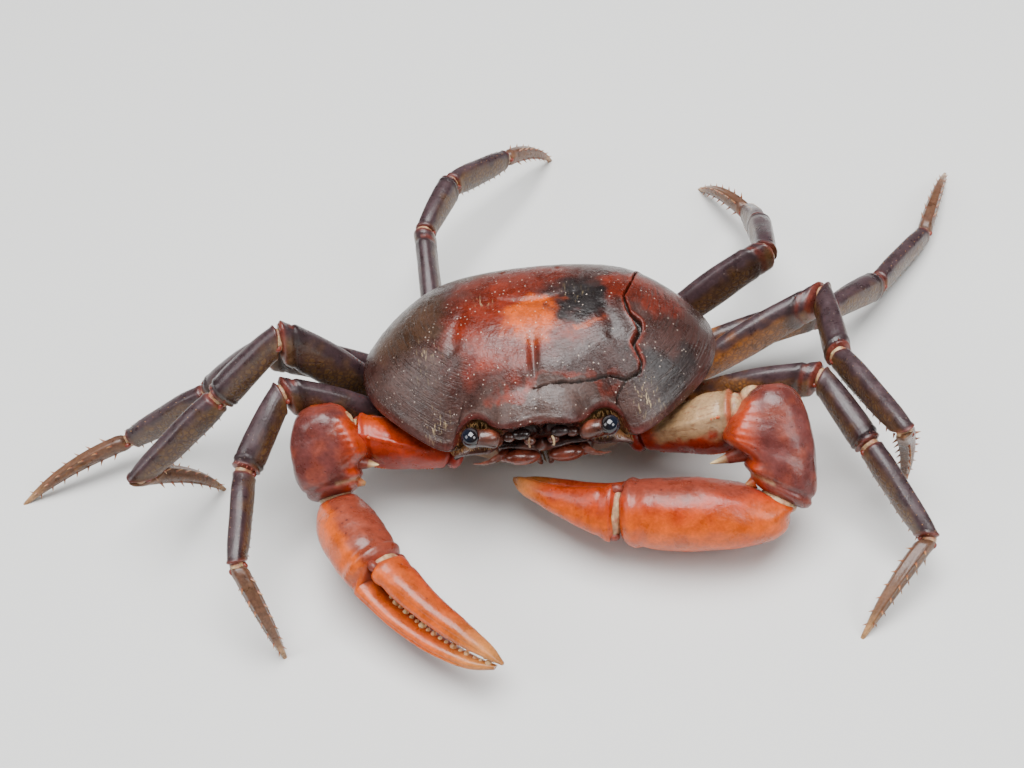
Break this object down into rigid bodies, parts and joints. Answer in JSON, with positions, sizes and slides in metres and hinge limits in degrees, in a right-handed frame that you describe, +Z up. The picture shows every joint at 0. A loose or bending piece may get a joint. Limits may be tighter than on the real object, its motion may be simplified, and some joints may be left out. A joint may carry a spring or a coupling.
{
  "type": "freshwater crab",
  "caption": "Still, life-size freshwater crab standing on its walking legs, with a glossy dark shell, orange claws and stalked eyes.",
  "frame": {"origin": "middle of the floor area that the whole crab covers, at floor level", "axes": "+Z up, -Y the way the crab faces, +X the crab's own left"},
  "size_m": [0.1552, 0.1098, 0.031],
  "materials": {
    "shell": "glossy dark purplish brown with an orange-red middle",
    "claw": "semi-gloss orange-red, browner above",
    "leg": "semi-gloss purplish brown with olive-amber sides",
    "belly": "satin tan",
    "mouth": "glossy dark red-brown",
    "eye": "wet gloss blue-black"
  },
  "bodies": {
    "root": {"abdomen": "belly", "antenna_left": "mouth", "antenna_right": "mouth", "carapace": "shell", "cheliped_left_carpus": "claw", "cheliped_left_finger": "claw", "cheliped_left_merus": "claw", "cheliped_left_palm": "claw", "cheliped_right_carpus": "claw", "cheliped_right_finger": "claw", "cheliped_right_merus": "claw", "cheliped_right_palm": "claw", "eye_left": "eye", "eye_right": "eye", "eye_stalk_left": "mouth", "eye_stalk_right": "mouth", "leg2_left_carpus": "leg", "leg2_left_dactylus": "leg", "leg2_left_merus": "leg", "leg2_left_propodus": "leg", "leg2_right_carpus": "leg", "leg2_right_dactylus": "leg", "leg2_right_merus": "leg", "leg2_right_propodus": "leg", "leg3_left_carpus": "leg", "leg3_left_dactylus": "leg", "leg3_left_merus": "leg", "leg3_left_propodus": "leg", "leg3_right_carpus": "leg", "leg3_right_dactylus": "leg", "leg3_right_merus": "leg", "leg3_right_propodus": "leg", "leg4_left_carpus": "leg", "leg4_left_dactylus": "leg", "leg4_left_merus": "leg", "leg4_left_propodus": "leg", "leg4_right_carpus": "leg", "leg4_right_dactylus": "leg", "leg4_right_merus": "leg", "leg4_right_propodus": "leg", "leg5_left_carpus": "leg", "leg5_left_dactylus": "leg", "leg5_left_merus": "leg", "leg5_left_propodus": "leg", "leg5_right_carpus": "leg", "leg5_right_dactylus": "leg", "leg5_right_merus": "leg", "leg5_right_propodus": "leg", "maxilliped_left": "mouth", "maxilliped_right": "mouth", "thorax": "belly"}
  },
  "joints": []
}
